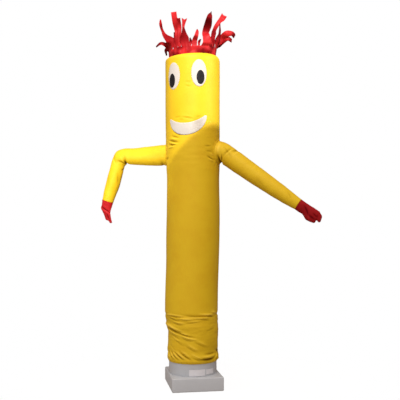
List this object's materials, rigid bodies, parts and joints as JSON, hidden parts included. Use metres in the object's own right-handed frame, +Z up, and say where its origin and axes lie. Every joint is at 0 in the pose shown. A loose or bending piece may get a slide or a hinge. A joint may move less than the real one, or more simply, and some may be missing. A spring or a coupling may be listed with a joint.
{
  "type": "inflatable air dancer on a blower base",
  "caption": "Blown fabric tube figure with two arms, mitts, a sewn face and a ribbon fringe, its hem fitted over a plain round blower housing on a square foot.",
  "frame": {"origin": "on the ground, on the underside of the blower's square foot, under the middle of the tube", "axes": "+Z up along the tube; the face looks towards -Y; the arms lie in the XZ plane"},
  "size_m": [1.27, 0.4162, 2.1288],
  "materials": {
    "yellow_nylon": "matt coated nylon",
    "red_nylon": "matt coated nylon",
    "white_nylon": "matt coated nylon",
    "black_nylon": "matt coated nylon",
    "grey_plastic": "moulded, satin",
    "pale_label": "smooth film, blank"
  },
  "bodies": {
    "root": {"body_tube": "yellow_nylon", "arm_left": "yellow_nylon", "arm_right": "yellow_nylon", "hand_left": "red_nylon", "hand_right": "red_nylon", "hair_fringe": "red_nylon", "eye_white_left": "white_nylon", "eye_white_right": "white_nylon", "pupil_left": "black_nylon", "pupil_right": "black_nylon", "mouth": "white_nylon", "blower_drum": "grey_plastic", "blower_plinth": "grey_plastic", "label_plate_front": "pale_label", "label_plate_side": "pale_label"}
  },
  "joints": []
}
